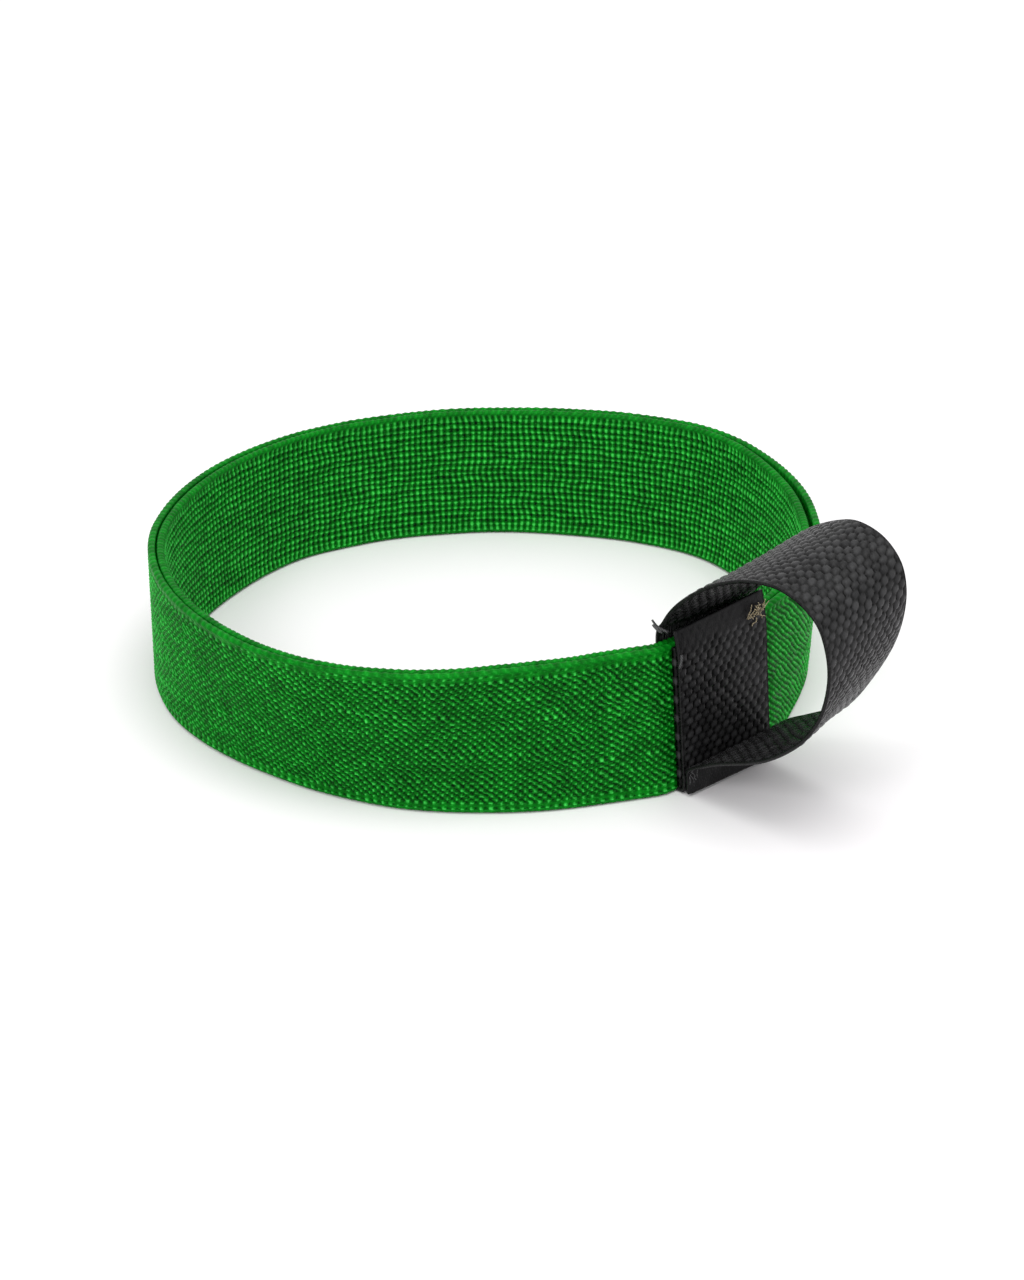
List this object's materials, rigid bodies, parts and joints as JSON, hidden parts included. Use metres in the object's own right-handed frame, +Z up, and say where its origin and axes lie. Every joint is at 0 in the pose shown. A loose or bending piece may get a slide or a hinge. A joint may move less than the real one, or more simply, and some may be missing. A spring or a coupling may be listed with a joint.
{
  "type": "resistance band",
  "caption": "Closed ring of doubled woven elastic with rubber strands, joined by a sewn webbing strap that forms a pull loop standing out of one side.",
  "frame": {"origin": "centre of the ring, on the surface that the ring stands on", "axes": "+X outwards through the webbing join and the pull loop, +Z up along the ring's axis, +Y completes a right-handed set"},
  "size_m": [0.2184, 0.1746, 0.0673],
  "materials": {
    "elastic_weave": "green woven elastic, soft sheen on the crowns of the weave",
    "rubber_strands": "raw latex strands, matt",
    "webbing": "black woven webbing, soft sheen",
    "sewing_thread": "black sewing thread",
    "black_yarn": "loose black yarn ends",
    "pale_yarn": "loose straw-coloured yarn ends"
  },
  "bodies": {
    "joined_half": {"outer_ply_left": "elastic_weave", "outer_strands_left": "rubber_strands", "outer_ply_right": "elastic_weave", "outer_strands_right": "rubber_strands", "outer_ply_join": "elastic_weave", "outer_strands_join": "rubber_strands", "inner_ply_left": "elastic_weave", "inner_strands_left": "rubber_strands", "inner_ply_right": "elastic_weave", "inner_strands_right": "rubber_strands", "inner_ply_join": "elastic_weave", "inner_strands_join": "rubber_strands", "join_underlay": "webbing", "strap_wrap": "webbing", "strap_tail": "webbing", "upper_bar_tack": "sewing_thread", "upper_bar_tack_inside": "sewing_thread", "lower_bar_tack": "sewing_thread", "lower_bar_tack_inside": "sewing_thread", "side_seam_left": "sewing_thread", "side_seam_left_inside": "sewing_thread", "side_seam_right": "sewing_thread", "side_seam_right_inside": "sewing_thread", "yarn_ends_upper": "black_yarn", "yarn_ends_far": "pale_yarn", "yarn_ends_lower": "black_yarn"},
    "far_half": {"outer_ply_far": "elastic_weave", "outer_strands_far": "rubber_strands", "inner_ply_far": "elastic_weave", "inner_strands_far": "rubber_strands"},
    "pull_loop": {"strap_loop": "webbing"}
  },
  "joints": [
    {"name": "band_stretch", "type": "slide", "parent": "joined_half", "child": "far_half", "axis": [-1, 0, 0], "range_m": [0, 0.16], "stiffness_N_per_m": 450},
    {"name": "loop_tilt", "type": "hinge", "parent": "joined_half", "child": "pull_loop", "pos_m": [0.08811, 0, 0.024], "axis": [0, -1, 0], "range_deg": [-20, 30], "stiffness_Nm_per_rad": 0.08}
  ]
}
